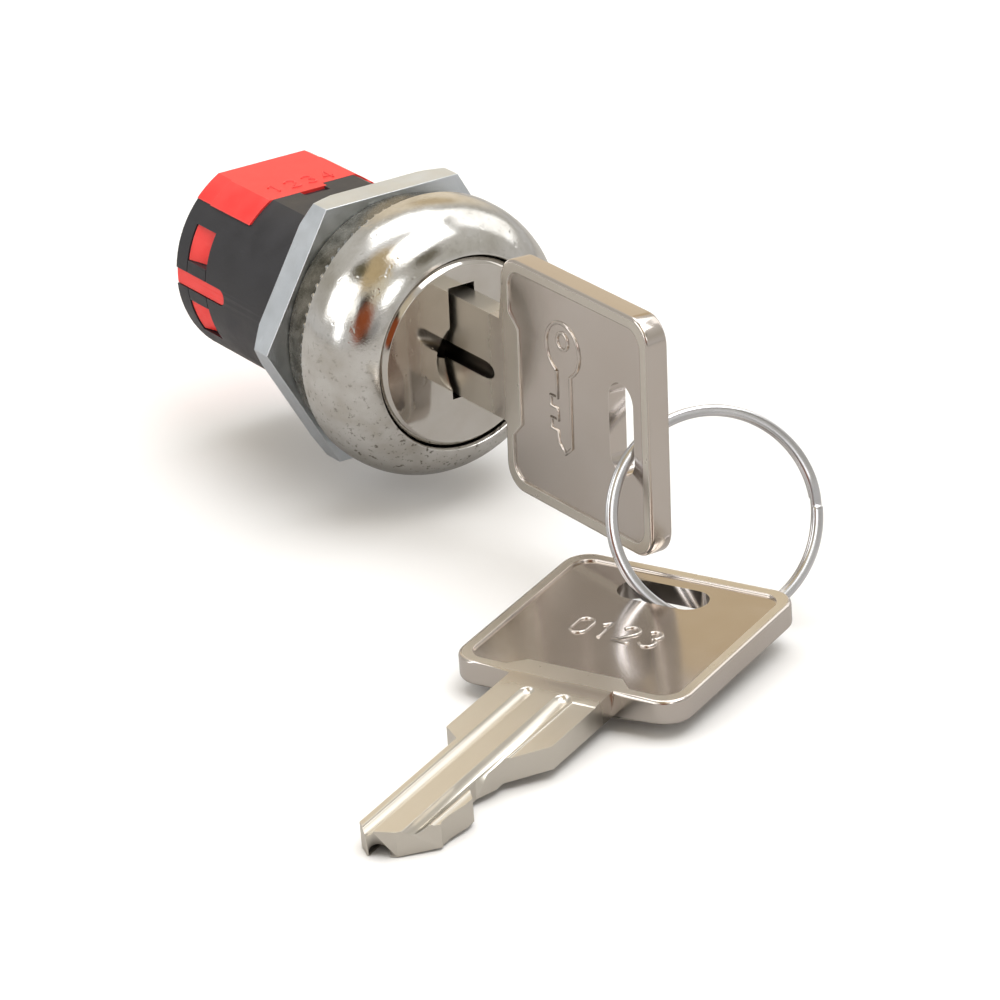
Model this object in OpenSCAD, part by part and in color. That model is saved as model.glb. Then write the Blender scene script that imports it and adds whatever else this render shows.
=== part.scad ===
// Selector key switch: a panel-mounting keylock with a rear contact block,
// one key in the lock, and a second key on a split ring.
// Millimetres. The lock axis is the Y axis and the key goes in from -Y.
// The flange's rear rim, which rests on the panel, lies at y = 0. +Z is up.

/* [Lock head] */
// Diameter across the domed flange
flange_d = 23.4; // [23:0.1:25]
// Radius of the rounded dome of the flange
dome_r = 5.7; // [5.5:0.1:5.9]
// Diameter of the recess the plug turns in
recess_d = 16.0; // [15.9:0.1:16.2]
// Distance of the plug's front face in front of the panel face
plug_front = 6.1; // [5.9:0.1:6.4]
// Diameter of the barrel that goes through the panel
barrel_d = 19.0; // [18.8:0.1:19]
// Height of the barrel's flat above the lock axis
barrel_flat = 8.1; // [8:0.1:8.6]

/* [Fixings] */
// Width of the nut across its flats
nut_across_flats = 22.0; // [21.8:0.2:24]
// Thickness of the nut
nut_thickness = 2.6; // [2:0.1:2.7]
// Outside diameter of the spacer ring
spacer_d = 21.4; // [20.6:0.1:21.6]
// Number of teeth on the toothed washer
washer_teeth = 84; // [60:2:96]

/* [Contact block] */
// Diameter of the black shell
shell_d = 17.8; // [17.6:0.1:18]
// Height of the shell's flat top above the lock axis
shell_flat = 7.9; // [7.7:0.1:8]
// Rear end of the shell, behind the panel face
shell_rear = 23.6; // [23.4:0.1:24.5]
// How far the solder terminals stand out at the rear
terminal_reach = 3.3; // [2.8:0.1:8]

/* [Keys] */
// Length of the key's bow
bow_length = 19.55; // [19:0.05:21]
// Width of the key's bow
bow_width = 19.8; // [18:0.1:22]
// Thickness of the key
key_thickness = 2.0; // [1.8:0.1:2]
// Length of the blade from the bow's inner line to the tip
blade_length = 26.0; // [25.5:0.1:26]
// Heights of the four cuts above the blade's middle line
cut_heights = [2.0, 1.4, 2.9, 2.6]; // [1.2:0.1:3.2]

/* [Ring] */
// Outside diameter of the split ring
ring_d = 17.2; // [17.1:0.1:17.3]
// Width of the ring's wire, measured across the ring
ring_wire = 0.9; // [0.7:0.1:0.9]

/* [Hidden] */
$fn = 96;
eps = 0.01;
run_gap = 0.05;

flange_r = flange_d / 2;
dome_centre_r = flange_r - dome_r;
rim_edge = 0.8;
rim_break = 0.06;
recess_r = recess_d / 2;
recess_floor = -1.6;
lip_start = -5.6;
washer_seat = -0.05;
rim_lip_r = 11.3;
barrel_r = barrel_d / 2;
barrel_end = 6.3;
barrel_edge = 0.4;
thread_pitch = 1.0;
thread_depth = 0.45;
thread_first = 0.85;
thread_count = 5;
tail_r = 7.6;
tail_end = 13.45;
bore_r = 6.55;
snap_groove = [10.4, 11.3];
snap_groove_r = 7.2;
wafer_groove_r = 7.1;
wafer_groove_w = 5.6;
wafer_groove_y = [-1.2, 9.1];
stop_track = [6.85, 7.75];
stop_depth = 1.0;
stop_lug_angle = 24;
quarter = 90;

washer_middle = 0.42;
washer_body_r = 10.62;
washer_t = 0.28;
tooth = [0.7, 0.95];
tooth_r = 10.9;
tooth_twist = 50;
fixing_bore_r = barrel_r + 0.08;
spacer_y = [0.9, 3.53];
spacer_edge = 0.15;
nut_y = [3.55, 3.55 + nut_thickness];
nut_bore_r = barrel_r + 0.06;

plug_head_r = recess_r - 0.08;
plug_head_edge = 0.45;
plug_r = bore_r - run_gap;
plug_end = 14.75;
clip_groove = [13.5, 14.1];
clip_groove_r = 5.6;
clip_r = 7.05;
tang_y = [13.0, 17.0];
tang = [2.4, 6.6];

key_middle = 1.0;
keyway_w = key_thickness + 0.2;
blade_wide = 4.3;
blade_back = 2.7;
keyway_step = -2.15;
keyway_play = 0.28;
keyway_end = 12.5;
dish_r = 4.7;
dish_depth = 1.3;
dish_at = [0.45, -0.15];
ward_y = [keyway_step - eps, 12.3];

key_stop = -13.85;
wafer_pitch = 2.8;
first_cut = 13.6;
cut_flat = 0.5;
wafer_t = 1.2;
wafer_count = len(cut_heights);
wafer_r = 6.42;
wafer_half = 2.7;
wafer_drop = 0.45;
lug_x = [2.6, 4.5];
lug_z = [0, 1.0];
spring_top = 4.2;

shell_r = shell_d / 2;
shell_front = barrel_end;
shell_inner_r = 8.05;
shell_tail_r = tail_r + run_gap;
clip_space = 7.15;
cap_front = 15.3;
cap_edge = 6.2;
cap_r = shell_r + 0.15;
cap_taper_y = 21.4;
cap_taper = 0.08;
cap_tab_x = 1.2;
cap_tab_y = 15.95;
latch_notch = [-1.5, 0.9, 14.4];
latch_depth = 0.25;
slot_half = 0.72;
slot_front = 16.2;
window_y = [19.0, 22.0];
window_z = [1.75, 4.7];
slit_w = 0.12;
slit_depth = 0.35;

base_front = cap_front + 0.04;
base_r = shell_inner_r - run_gap;
chamber_r = 6.68;
chamber_end = 20.4;

rotor_r = chamber_r - 0.08;
rotor_y = [15.2, 19.6];
rotor_slot_end = 17.15;
ball_r = 0.75;
ball_seat = 6.22;
ball_y = 16.5;
ball_hole_r = 0.82;
ball_hole_inner = 2.1;
track_r = 7.05;
track_margin = 9;
contact_pitch = 4.2;
contact_xz = contact_pitch * cos(45);
bridge_y = [19.2, 19.75];
bridge_w = 1.9;
bridge_pocket = 17.6;
contact_head_y = 19.77;
contact_head_r = 1.05;
lead_t = 0.6;
lead_w = 1.8;
eye_r = 0.5;
eye_back = 1.0;

bow_start = -1.0;
bow_half = bow_width / 2;
bow_end = bow_start + bow_length;
bow_corner = 2.2;
panel_depth = 0.2;
panel_rim = 1.05;
panel_corner = 1.5;
slot_u = 14.65;
slot_r = 1.6;
slot_reach = 2.25;
front_groove = [-0.75, 1.5, 1.0];
front_groove_end = -2.2;
cutter_r = 4.6;
back_grooves = [[-1.65, 0.65, 0.4], [1.45, 0.75, 0.45]];
back_groove_end = -2.6;
back_land = [-3.35, 2.35, 0.1];

ring_centre = [4.318, -33.301, -6.057];
ring_tilt = [65.64, 0, -20.22];
ring_coil = 0.5;
ring_gap_angle = 24;
ring_step = 2 * (ring_d / 2 - ring_wire / 2) * sin(ring_gap_angle / 2) + 0.8;
ring_step_slope = 8.5;

spare_place = [-14.62, -40.236, -12.209];
spare_turn = [179.455, -2.654, 24.62];

// ---- helpers ----

// a shape drawn along +Z, laid along +Y so that its base is at y
module along_y(y) {
    translate([0, y, 0])
        rotate([-90, 0, 0])
            children();
}

// a round bar on the lock axis from y0 to y1
module bar_y(y0, y1, r) {
    along_y(y0)
        cylinder(h = y1 - y0, r = r);
}

// a tube on the lock axis
module tube_y(y0, y1, r_out, r_in) {
    difference() {
        bar_y(y0, y1, r_out);
        bar_y(y0 - 1, y1 + 1, r_in);
    }
}

// a profile of [radius, y] turned about the lock axis
module turned_y() {
    rotate([-90, 0, 0])
        rotate_extrude()
            children();
}

// a block given by its two opposite corners
module block(low, high) {
    translate(low)
        cube([high[0] - low[0], high[1] - low[1], high[2] - low[2]]);
}

// a wedge of angle a about the lock axis, from the start direction onward
module sector_y(y0, y1, r, a) {
    along_y(y0)
        linear_extrude(height = y1 - y0)
            polygon([[0, 0], for (i = [0:6]) [r * cos(-a * i / 6), r * sin(-a * i / 6)]]);
}

// a rectangle with round corners
module round_rect(u0, u1, v0, v1, r) {
    translate([u0 + r, v0])
        square([u1 - u0 - 2 * r, v1 - v0]);
    translate([u0, v0 + r])
        square([u1 - u0, v1 - v0 - 2 * r]);
    for (u = [u0 + r, u1 - r]) {
        for (v = [v0 + r, v1 - r]) {
            translate([u, v])
                circle(r);
        }
    }
}

// a round-wire coil spring standing on z = 0
module coil(length, r, wire, turns) {
    linear_extrude(height = length, twist = -360 * turns, slices = 10 * turns, $fn = 6)
        translate([r - wire, 0])
            circle(wire, $fn = 6);
}

// ---- lock head ----

// dome, recess edge and barrel, as one turned outline
module head_outline() {
    difference() {
        union() {
            intersection() {
                translate([dome_centre_r, -rim_edge])
                    circle(dome_r);
                translate([0, -20])
                    square([flange_r, 20 - rim_edge]);
            }
            polygon([[0, -rim_edge - eps], [flange_r, -rim_edge - eps], [flange_r, -rim_break],
                [flange_r - rim_break, 0], [0, 0]]);
            // barrel, with its rear edge turned off
            polygon([[0, 0], [barrel_r, 0], [barrel_r, barrel_end - barrel_edge],
                [barrel_r - barrel_edge, barrel_end], [0, barrel_end]]);
            square([tail_r, tail_end]);
        }
        // recess for the plug's head
        translate([-1, -20])
            square([recess_r + 1, 20 + recess_floor]);
        // rounded lip of the recess
        polygon([[recess_r - 1, -20], [recess_r + 0.9, -20], [recess_r + 0.3, lip_start - 0.6],
            [recess_r - 0.05, lip_start], [recess_r - 1, lip_start]]);
        // seat of the toothed washer
        translate([barrel_r, washer_seat])
            square([rim_lip_r - barrel_r, 1]);
        // thread, as separate rings
        for (i = [0:thread_count - 1]) {
            translate([barrel_r, thread_first + i * thread_pitch])
                polygon([[-thread_depth, 0], [0.1, -0.45], [0.1, 0.45]]);
        }
        // groove the shell snaps into
        translate([snap_groove_r, snap_groove[0]])
            square([3, snap_groove[1] - snap_groove[0]]);
    }
}

module lock_housing() {
    color([0.80, 0.79, 0.76])
        difference() {
            turned_y()
                head_outline();
            bar_y(-10, 20, bore_r);
            // the barrel's flat
            block([-15, 0, barrel_flat], [15, barrel_end + 1, 15]);
            // grooves the tumblers drop into, for each position where the key comes out
            for (a = [0, quarter]) {
                rotate([0, a, 0]) {
                    intersection() {
                        bar_y(wafer_groove_y[0], wafer_groove_y[1], wafer_groove_r);
                        block([-wafer_groove_w / 2, wafer_groove_y[0], -10],
                            [wafer_groove_w / 2, wafer_groove_y[1], 10]);
                    }
                }
            }
            // track that stops the plug at each end of its quarter turn
            intersection() {
                tube_y(recess_floor - eps, recess_floor + stop_depth, stop_track[1], stop_track[0]);
                rotate([0, -(quarter - stop_lug_angle / 2 - 1), 0])
                    sector_y(-3, 2, 20, quarter + stop_lug_angle + 2);
            }
        }
}

// ---- fixings on the barrel ----

module toothed_washer() {
    pitch = 360 / washer_teeth;
    color([0.55, 0.54, 0.50]) {
        tube_y(washer_middle - washer_t / 2, washer_middle + washer_t / 2, washer_body_r, fixing_bore_r);
        for (i = [0:washer_teeth - 1]) {
            rotate([0, pitch * (i + 0.5), 0])
                translate([tooth_r, washer_middle, 0])
                    rotate([tooth_twist, 0, 0])
                        cube([tooth[0], washer_t, tooth[1]], center = true);
        }
    }
}

module spacer_ring() {
    outer = spacer_d / 2;
    color([0.52, 0.51, 0.46])
        turned_y()
            polygon([[fixing_bore_r, spacer_y[0]], [outer - spacer_edge, spacer_y[0]],
                [outer, spacer_y[0] + spacer_edge], [outer, spacer_y[1] - spacer_edge],
                [outer - spacer_edge, spacer_y[1]], [fixing_bore_r, spacer_y[1]]]);
}

module hex_nut() {
    corner_r = nut_across_flats / sqrt(3);
    color([0.72, 0.74, 0.77])
        difference() {
            intersection() {
                along_y(nut_y[0])
                    cylinder(h = nut_thickness, r = corner_r, $fn = 6);
                // the corners are turned off at the rear only
                turned_y()
                    polygon([[0, nut_y[0]], [corner_r + 0.1, nut_y[0]], [corner_r + 0.1, nut_y[1] - 0.75],
                        [corner_r - 0.9, nut_y[1]], [0, nut_y[1]]]);
            }
            bar_y(nut_y[0] - 1, nut_y[1] + 1, nut_bore_r);
        }
}

// ---- plug and tumblers ----

function wafer_y(i) = key_stop + first_cut + i * wafer_pitch;

// the slot the key goes into, wider in front
module keyway() {
    half = keyway_w / 2;
    block([-half - keyway_play, -10, key_middle - blade_wide - 0.35],
        [half, keyway_step, key_middle + blade_wide + 0.6]);
    difference() {
        block([-half, -10, key_middle - blade_back - 0.1],
            [half, keyway_end, key_middle + blade_wide + 0.2]);
        // wards that run in the key's grooves
        block([-half - 1, ward_y[0], key_middle - 1.2], [-half + 0.8, ward_y[1], key_middle - 0.3]);
        block([half - 0.4, ward_y[0], key_middle + 1.1], [half + 1, ward_y[1], key_middle + 1.8]);
    }
    // dished pocket around the keyway
    translate([dish_at[0], -plug_front + dish_depth - dish_r, dish_at[1]])
        sphere(dish_r);
}

// room for one tumbler, its spring lug and its spring
module wafer_room(i) {
    y = wafer_y(i);
    low = y - wafer_t / 2 - run_gap;
    high = y + wafer_t / 2 + run_gap;
    block([-wafer_half - run_gap, low, -8], [wafer_half + run_gap, high, 8]);
    block([0, low, lug_z[0] - 0.9], [lug_x[1] + 0.1, high, spring_top]);
}

module key_plug() {
    color([0.74, 0.73, 0.69])
        difference() {
            union() {
                turned_y()
                    polygon([[0, -plug_front], [plug_head_r - plug_head_edge, -plug_front],
                        [plug_head_r, -plug_front + plug_head_edge], [plug_head_r, recess_floor - run_gap],
                        [0, recess_floor - run_gap]]);
                bar_y(recess_floor - 0.5, plug_end, plug_r);
                // lug that runs in the stop track
                intersection() {
                    tube_y(recess_floor - 0.5, recess_floor + stop_depth - 0.1, stop_track[1] - 0.1,
                        plug_r - 0.5);
                    rotate([0, -(180 - stop_lug_angle / 2), 0])
                        sector_y(-3, 2, 20, stop_lug_angle);
                    tube_y(recess_floor - 0.5, recess_floor + stop_depth - 0.1, 20, stop_track[0] + 0.1);
                }
            }
            tube_y(clip_groove[0], clip_groove[1], 10, clip_groove_r);
            keyway();
            for (i = [0:wafer_count - 1]) {
                wafer_room(i);
            }
            tang_bar(0.01);
        }
}

// flat bar through the plug's rear end into the rotor, grown by a clearance
module tang_bar(grow) {
    block([-tang[0] / 2 - grow, tang_y[0] - grow, -tang[1] / 2 - grow],
        [tang[0] / 2 + grow, tang_y[1], tang[1] / 2 + grow]);
}

module drive_tang() {
    color([0.60, 0.60, 0.62])
        tang_bar(0);
}

module plug_clip() {
    color([0.45, 0.45, 0.47])
        difference() {
            tube_y(clip_groove[0] + run_gap, clip_groove[1] - run_gap, clip_r, clip_groove_r + run_gap);
            rotate([0, -20, 0])
                sector_y(10, 18, 20, 40);
        }
}

module wafer(i) {
    y = wafer_y(i);
    window_low = key_middle - blade_back - 0.1;
    window_high = key_middle + blade_wide + 0.15 + wafer_drop;
    difference() {
        union() {
            intersection() {
                bar_y(y - wafer_t / 2, y + wafer_t / 2, wafer_r);
                block([-wafer_half, y - 1, -8], [wafer_half, y + 1, 8]);
            }
            block([wafer_half - 0.5, y - wafer_t / 2, lug_z[0]], [lug_x[1], y + wafer_t / 2, lug_z[1]]);
        }
        block([-keyway_w / 2 - 0.05, y - 1, window_low], [keyway_w / 2 + 0.05, y + 1, window_high]);
    }
}

module wafer_tumblers() {
    color([0.78, 0.62, 0.30])
        for (i = [0:wafer_count - 1]) {
            wafer(i);
        }
}

module wafer_springs() {
    x = (wafer_half + lug_x[1]) / 2 + 0.1;
    color([0.70, 0.70, 0.72])
        for (i = [0:wafer_count - 1]) {
            translate([x, wafer_y(i), lug_z[1] + 0.03])
                coil(spring_top - lug_z[1] - 0.06, 0.55, 0.13, 5);
        }
}

// ---- contact block ----

// outline of shell and base: round with a flat top
module block_profile(y0, y1, r) {
    difference() {
        bar_y(y0, y1, r);
        block([-15, y0 - 1, shell_flat], [15, y1 + 1, 15]);
    }
}

module switch_shell() {
    color([0.13, 0.13, 0.14])
        difference() {
            block_profile(shell_front + 0.02, shell_rear, shell_r);
            // bore over the lock's tail, with a lip that snaps into its groove
            bar_y(0, snap_groove[0] + 0.05, shell_tail_r);
            bar_y(0, 20, snap_groove_r + run_gap);
            bar_y(snap_groove[1] - 0.05, tail_end + 0.1, shell_tail_r);
            difference() {
                bar_y(tail_end, 30, shell_inner_r);
                block([-15, 0, clip_space], [15, cap_front, 15]);
                block([cap_tab_x, 0, clip_space], [15, cap_tab_y, 15]);
            }
            // opening for the red cap
            difference() {
                block([-15, cap_front, cap_edge], [15, 30, 15]);
                block([cap_tab_x, 0, clip_space], [16, cap_tab_y, 16]);
            }
            // notch in front of the cap
            block([latch_notch[0], latch_notch[2], shell_flat - latch_depth],
                [latch_notch[1], cap_front + eps, 15]);
            for (side = [0, 1]) {
                // open slot with a round end, on each side
                mirror([side, 0, 0]) {
                    block([5, slot_front + slot_half, -slot_half], [15, 30, slot_half]);
                    translate([5, slot_front + slot_half, 0])
                        rotate([0, 90, 0])
                            cylinder(h = 10, r = slot_half);
                    // snap windows above and below the slot
                    block([4.5, window_y[0], window_z[0]], [15, window_y[1], window_z[1]]);
                    block([4.5, window_y[0], -window_z[1]], [15, window_y[1], -window_z[0]]);
                    // shallow slits from the windows' corners to the slot
                    difference() {
                        for (y = [window_y[0], window_y[1] - slit_w]) {
                            block([5, y, -window_z[0] - eps], [15, y + slit_w, window_z[0] + eps]);
                        }
                        bar_y(0, 30, shell_r - slit_depth);
                    }
                }
            }
        }
}

// parts of the red base that show through the shell, on the +X side
module base_side() {
    gap = 0.06;
    intersection() {
        union() {
            block([5, slot_front + slot_half, -slot_half + gap], [15, shell_rear, slot_half - gap]);
            translate([5, slot_front + slot_half, 0])
                rotate([0, 90, 0])
                    cylinder(h = 10, r = slot_half - gap);
        }
        bar_y(15, shell_rear, shell_r - 0.1);
    }
    // ramped lugs that snap into the windows
    for (side = [0, 1]) {
        mirror([0, 0, side]) {
            intersection() {
                block([4.5, 15, window_z[0] + 0.05], [15, shell_rear, window_z[1] - 0.08]);
                turned_y()
                    polygon([[0, window_y[0] + 0.05], [shell_r - 0.8, window_y[0] + 0.05],
                        [shell_r - 0.12, window_y[1] - 0.08], [0, window_y[1] - 0.08]]);
            }
        }
    }
}

// slot in the rear wall for one terminal, and the terminal's own shape
module lead(x, z, y0, y1, grow) {
    block([x - lead_t / 2 - grow, y0, z - lead_w / 2 - grow],
        [x + lead_t / 2 + grow, y1, z + lead_w / 2 + grow]);
}

module contact_base() {
    color([0.90, 0.12, 0.11])
        difference() {
            union() {
                bar_y(base_front, shell_rear, base_r);
                // cap that fills the top opening of the shell
                intersection() {
                    union() {
                        block_profile(base_front, cap_taper_y, cap_r);
                        block_profile(base_front, shell_rear, cap_r - cap_taper);
                    }
                    block([-15, base_front, cap_edge + 0.05], [15, 30, 15]);
                }
                base_side();
                mirror([1, 0, 0])
                    base_side();
                // ribs between the terminals
                block([-5.5, shell_rear - 0.5, -0.4], [5.5, shell_rear + 0.9, 0.4]);
                block([-0.4, shell_rear - 0.5, -5.5], [0.4, shell_rear + 0.9, 5.5]);
            }
            bar_y(10, chamber_end, chamber_r);
            block([-15, base_front - 1, shell_flat], [15, 40, 15]);
            // room for the shell's tab beside the notch
            block([cap_tab_x - 0.05, 10, clip_space - 0.05], [15, cap_tab_y + 0.05, 15]);
            // track of the detent ball, a quarter turn long
            intersection() {
                tube_y(ball_y - 0.9, ball_y + 0.9, track_r, chamber_r - 0.5);
                rotate([0, -(quarter - track_margin), 0])
                    sector_y(10, 20, 20, quarter + 2 * track_margin);
            }
            for (x = [-contact_xz, contact_xz]) {
                for (z = [-contact_xz, contact_xz]) {
                    lead(x, z, chamber_end - 1, 40, 0.03);
                }
            }
        }
}

module drive_rotor() {
    color([0.86, 0.85, 0.80])
        difference() {
            bar_y(rotor_y[0], rotor_y[1], rotor_r);
            // slot for the plug's tang
            block([-tang[0] / 2 - 0.06, 10, -tang[1] / 2 - 0.06],
                [tang[0] / 2 + 0.06, rotor_slot_end, tang[1] / 2 + 0.06]);
            // hole for the detent spring and ball
            translate([-10, ball_y, 0])
                rotate([0, 90, 0])
                    cylinder(h = 10 - ball_hole_inner, r = ball_hole_r);
            // channels and spring holes of the bridges
            for (s = [-1, 1]) {
                block([-5, bridge_y[0] - 0.3, s * contact_xz - bridge_w / 2 - 0.06],
                    [5, 30, s * contact_xz + bridge_w / 2 + 0.06]);
                along_y(bridge_pocket)
                    translate([0, s * contact_xz])
                        cylinder(h = 10, r = 0.95);
            }
        }
}

module detent_ball() {
    color([0.75, 0.75, 0.77])
        translate([-ball_seat, ball_y, 0])
            sphere(ball_r);
}

module detent_spring() {
    length = ball_seat - ball_r - ball_hole_inner - 0.04;
    color([0.70, 0.70, 0.72])
        translate([-ball_hole_inner - 0.02, ball_y, 0])
            rotate([0, -90, 0])
                coil(length, 0.62, 0.14, 5);
}

module contact_bridges() {
    reach = contact_xz + 0.9;
    color([0.80, 0.60, 0.32])
        for (s = [-1, 1]) {
            block([-reach, bridge_y[0], s * contact_xz - bridge_w / 2],
                [reach, bridge_y[1], s * contact_xz + bridge_w / 2]);
        }
}

module bridge_springs() {
    color([0.70, 0.70, 0.72])
        for (s = [-1, 1]) {
            along_y(bridge_pocket + 0.02)
                translate([0, s * contact_xz])
                    coil(bridge_y[0] - bridge_pocket - 0.04, 0.8, 0.14, 3);
        }
}

module solder_terminals() {
    rear = shell_rear + terminal_reach;
    color([0.83, 0.80, 0.72])
        for (x = [-contact_xz, contact_xz]) {
            for (z = [-contact_xz, contact_xz]) {
                difference() {
                    union() {
                        lead(x, z, contact_head_y + 0.2, rear, 0);
                        along_y(contact_head_y)
                            translate([x, -z])
                                cylinder(h = chamber_end - contact_head_y - 0.01, r = contact_head_r);
                    }
                    translate([x - 2, rear - eye_back, z])
                        rotate([0, 90, 0])
                            cylinder(h = 4, r = eye_r);
                }
            }
        }
}

// ---- keys and ring ----
// A key lies in its own plane: +x from the blade to the bow, +y towards the
// cuts, and z = 0 through the middle of its thickness.

module blade_outline() {
    tip = -blade_length;
    cut_points = [for (i = [0:wafer_count - 1]) each [
        [-first_cut - i * wafer_pitch + cut_flat, cut_heights[i]],
        [-first_cut - i * wafer_pitch - cut_flat, cut_heights[i]]]];
    polygon(concat(
        [[1, blade_wide], [-9.8, blade_wide]],
        cut_points,
        [[tip + 3.2, 2.75], [tip + 0.7, 0.5], [tip, -1.6], [tip + 1.0, -blade_back], [-11.6, -blade_back],
        [-10.4, -blade_wide], [1, -blade_wide]]));
}

module panel_outline() {
    difference() {
        round_rect(bow_start + panel_rim, bow_end - panel_rim, -bow_half + panel_rim, bow_half - panel_rim,
            panel_corner);
        polygon([[bow_start, -blade_wide - 1], [bow_start + panel_rim, -blade_wide - 1],
            [bow_start + panel_rim + 1.2, -blade_wide + 0.2], [bow_start + panel_rim + 1.2, blade_wide - 0.2],
            [bow_start + panel_rim, blade_wide + 1], [bow_start, blade_wide + 1]]);
    }
}

// round-bottomed groove in the key's upper face, cut with a disc, so that its
// floor runs out in an arc and its end narrows
module key_front_groove(top) {
    r = front_groove[1] / 2;
    floor_w = top - front_groove[2];
    run_out = sqrt(pow(cutter_r, 2) - pow(cutter_r - front_groove[2], 2));
    disc_u = front_groove_end - run_out;
    translate([disc_u, front_groove[0], floor_w]) {
        translate([0, 0, r])
            rotate([0, -90, 0])
                cylinder(h = 40, r = r);
        block([-40, -r, r], [0, r, top + 2]);
        translate([0, 0, cutter_r])
            rotate([90, 0, 0])
                rotate_extrude() {
                    translate([0, -r])
                        square([cutter_r - r, 2 * r]);
                    translate([cutter_r - r, 0])
                        circle(r);
                }
    }
}

// round-bottomed groove [v, radius, depth] in the key's lower face
module key_back_groove(g, bottom) {
    reach = sqrt(pow(g[1], 2) - pow(g[1] - g[2], 2));
    translate([back_groove_end - reach, g[0], bottom - g[1] + g[2]]) {
        sphere(g[1]);
        rotate([0, -90, 0])
            cylinder(h = 40, r = g[1]);
    }
}

module key_body() {
    half = key_thickness / 2;
    difference() {
        translate([0, 0, -half])
            linear_extrude(height = key_thickness)
                difference() {
                    union() {
                        round_rect(bow_start, bow_end, -bow_half, bow_half, bow_corner);
                        blade_outline();
                    }
                    // slot for the ring
                    translate([slot_u - slot_r, -slot_reach])
                        square([2 * slot_r, 2 * slot_reach]);
                    for (v = [-slot_reach, slot_reach]) {
                        translate([slot_u, v])
                            circle(slot_r);
                    }
                }
        // sunk panels that leave a raised rim on both faces
        translate([0, 0, half - panel_depth])
            linear_extrude(height = 1)
                panel_outline();
        translate([0, 0, -half + panel_depth - 1])
            linear_extrude(height = 1)
                panel_outline();
        key_front_groove(half);
        for (g = back_grooves) {
            key_back_groove(g, -half);
        }
        // shallow land along the cuts
        block([-40, back_land[1], -half - 1], [back_land[0], 10, -half + back_land[2]]);
    }
}

module inserted_key() {
    color([0.76, 0.73, 0.66])
        translate([0, key_stop, key_middle])
            rotate([90, 0, -90])
                key_body();
}

module spare_key() {
    color([0.76, 0.73, 0.66])
        translate(spare_place)
            rotate(spare_turn)
                key_body();
}

module split_ring() {
    r = ring_d / 2 - ring_wire / 2;
    half = ring_coil / 2;
    color([0.80, 0.80, 0.82])
        translate(ring_centre)
            rotate(ring_tilt) {
                for (s = [-1, 1]) {
                    rotate([0, 0, s * ring_gap_angle / 2])
                        translate([0, 0, s * (half + 0.02)])
                            rotate_extrude(angle = s * (360 - ring_gap_angle))
                                translate([r - ring_wire / 2, -half])
                                    square([ring_wire, ring_coil]);
                }
                // step where the wire crosses from one coil to the other
                translate([r * cos(ring_gap_angle / 2), 0, 0])
                    rotate([ring_step_slope, 0, 0])
                        cube([ring_wire, ring_step, ring_coil], center = true);
            }
}

lock_housing();
toothed_washer();
spacer_ring();
hex_nut();
key_plug();
plug_clip();
drive_tang();
wafer_tumblers();
wafer_springs();
switch_shell();
contact_base();
drive_rotor();
detent_ball();
detent_spring();
contact_bridges();
bridge_springs();
solder_terminals();
inserted_key();
spare_key();
split_ring();
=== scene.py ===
"""Selector key switch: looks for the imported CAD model."""

import math

import bmesh
import bpy
from mathutils import Matrix, Vector


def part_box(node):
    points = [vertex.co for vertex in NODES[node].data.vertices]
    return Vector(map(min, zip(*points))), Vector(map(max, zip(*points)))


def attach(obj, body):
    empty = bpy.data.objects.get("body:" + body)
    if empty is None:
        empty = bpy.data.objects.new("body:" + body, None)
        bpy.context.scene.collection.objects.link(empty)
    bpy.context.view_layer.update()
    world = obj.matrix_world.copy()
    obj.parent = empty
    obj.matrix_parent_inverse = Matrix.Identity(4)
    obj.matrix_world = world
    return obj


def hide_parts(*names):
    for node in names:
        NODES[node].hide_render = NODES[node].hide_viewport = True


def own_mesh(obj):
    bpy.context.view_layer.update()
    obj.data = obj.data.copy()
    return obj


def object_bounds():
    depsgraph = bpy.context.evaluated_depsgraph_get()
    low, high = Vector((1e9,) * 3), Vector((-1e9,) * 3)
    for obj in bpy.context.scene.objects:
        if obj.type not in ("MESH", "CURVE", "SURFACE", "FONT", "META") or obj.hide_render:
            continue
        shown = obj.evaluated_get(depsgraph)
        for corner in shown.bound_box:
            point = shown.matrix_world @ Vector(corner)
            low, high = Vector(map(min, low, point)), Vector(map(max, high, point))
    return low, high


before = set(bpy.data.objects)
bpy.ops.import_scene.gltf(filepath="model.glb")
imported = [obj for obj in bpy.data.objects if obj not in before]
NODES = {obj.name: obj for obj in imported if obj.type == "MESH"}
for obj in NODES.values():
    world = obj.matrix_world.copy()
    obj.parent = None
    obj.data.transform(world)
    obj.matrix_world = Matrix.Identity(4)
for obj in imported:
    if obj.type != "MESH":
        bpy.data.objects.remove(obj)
cad_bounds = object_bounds()
MM = 0.001

# ---------------------------------------------------------------- key frames
# A key's own frame: x from blade to bow, y towards the cuts, z across its thickness, all in mm.
KEY_HALF = 1.0
PANEL_DEPTH = 0.2
BOW_START = -1.0
# middle of the bow's slot, and half its room along x and y
SLOT_AT = 14.65
SLOT_ROOM = (1.8, 4.0)
# the front groove: where it starts, its line and half its width
GROOVE_START = -1.9
GROOVE_Y = -0.75
GROOVE_HALF = 0.8
# how much of the milled colour the bow's rim takes, from 0 to 1: wear, and a painted highlight for the light
# its rounded top catches
RIM_WEAR_AND_SHEEN = 0.8
# the milled look of the blade starts at FADE_START and is full after FADE_LENGTH
FADE_START = -0.5
FADE_LENGTH = 3.0
FADE_CUTS = (-0.5, -1.5, -2.5, -3.5)
# bevels of the bow's outline, the blade's outline and the panel's edge
BOW_BEVEL = 0.30
BLADE_BEVEL = 0.05
PANEL_BEVEL = 0.12
# least turn, in degrees, of an outline edge and of a panel edge
OUTLINE_DEG = 35
PANEL_DEG = 60
# edges that turn less than this are dissolved, and edges that turn more than SHARP_DEG stay sharp
KEY_FLAT_DEG = 0.5
SHARP_DEG = 40


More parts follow.
